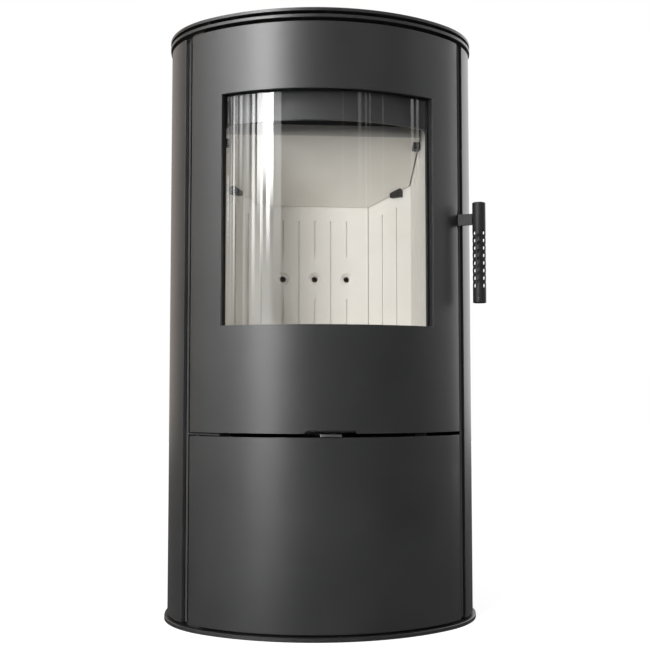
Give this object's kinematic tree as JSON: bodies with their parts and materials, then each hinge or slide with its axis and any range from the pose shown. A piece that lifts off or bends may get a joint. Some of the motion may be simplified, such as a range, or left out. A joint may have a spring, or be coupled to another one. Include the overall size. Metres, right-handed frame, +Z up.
{
  "type": "freestanding wood stove",
  "caption": "Oval freestanding wood stove with a curved glazed upper door, perforated vertical handle, lower storage door, sliding air control and a flue collar on top.",
  "frame": {"origin": "middle of the base plate's underside, on the floor", "axes": "+Z up, -Y out of the front (the doors' side), +X to the viewer's right"},
  "size_m": [0.51, 0.4342, 0.987],
  "materials": {
    "stove_paint": "satin, heat resistant, dark grey",
    "window_glass": "clear, curved",
    "vermiculite": "pressed board, matte",
    "cast_iron": "raw",
    "black_rope": "woven glass fibre",
    "zinc_sheet": "zinc coated",
    "bare_steel": "bare"
  },
  "bodies": {
    "stove": {"afterburn_channel": "zinc_sheet", "air_box": "zinc_sheet", "air_inlet_pipe": "zinc_sheet", "ash_compartment": "stove_paint", "ash_pan": "zinc_sheet", "back_lining": "vermiculite", "back_panel": "stove_paint", "baffle": "vermiculite", "baffle_brackets": "bare_steel", "baffle_rests": "bare_steel", "base_plate": "stove_paint", "bottom_hinge_bracket": "bare_steel", "collar_bolts": "bare_steel", "cover_spacers": "bare_steel", "door_catch": "stove_paint", "firebox_body": "stove_paint", "firebox_feet": "zinc_sheet", "floor_plate": "stove_paint", "flue_collar": "stove_paint", "front_plate": "stove_paint", "grate": "cast_iron", "hearth_lining": "vermiculite", "heat_shelf": "zinc_sheet", "left_lining": "vermiculite", "left_shell": "stove_paint", "left_upright": "stove_paint", "log_retainer": "cast_iron", "middle_hinge_bracket": "bare_steel", "neck_ring": "stove_paint", "plinth_ring": "stove_paint", "rear_flue_cover": "stove_paint", "rear_left_lining": "vermiculite", "rear_right_lining": "vermiculite", "right_lining": "vermiculite", "right_shell": "stove_paint", "right_upright": "stove_paint", "shelf_angles": "zinc_sheet", "slide_rails": "zinc_sheet", "striker": "bare_steel", "top_cover": "stove_paint", "top_frame": "stove_paint", "top_hinge_bracket": "bare_steel", "top_plate": "stove_paint"},
    "upper_door": {"upper_door_skin": "stove_paint", "upper_door_pan": "stove_paint", "window_gasket": "black_rope", "window_glass": "window_glass", "glass_clips": "bare_steel", "clip_studs": "bare_steel", "door_rope_seal": "black_rope", "upper_hinge_blocks": "stove_paint", "latch_pivot": "bare_steel"},
    "latch": {"latch_arm": "stove_paint", "handle_tube": "stove_paint"},
    "lower_door": {"lower_door_skin": "stove_paint", "lower_door_pan": "stove_paint", "lower_hinge_blocks": "stove_paint", "catch_plate": "bare_steel"},
    "air_control": {"air_lever": "bare_steel", "air_slide": "zinc_sheet"}
  },
  "joints": [
    {"name": "upper_door_hinge", "type": "hinge", "parent": "stove", "child": "upper_door", "pos_m": [-0.1979, -0.10435, 0.6], "axis": [0, 0, -1], "range_deg": [0, 95]},
    {"name": "handle_turn", "type": "hinge", "parent": "upper_door", "child": "latch", "pos_m": [0.19937, -0.09513, 0.639], "axis": [0, 0, -1], "range_deg": [0, 6.5]},
    {"name": "lower_door_hinge", "type": "hinge", "parent": "stove", "child": "lower_door", "pos_m": [-0.1979, -0.10435, 0.15], "axis": [0, 0, -1], "range_deg": [0, 95]},
    {"name": "air_slide_move", "type": "slide", "parent": "stove", "child": "air_control", "axis": [1, 0, 0], "range_m": [-0.02, 0.02]}
  ]
}
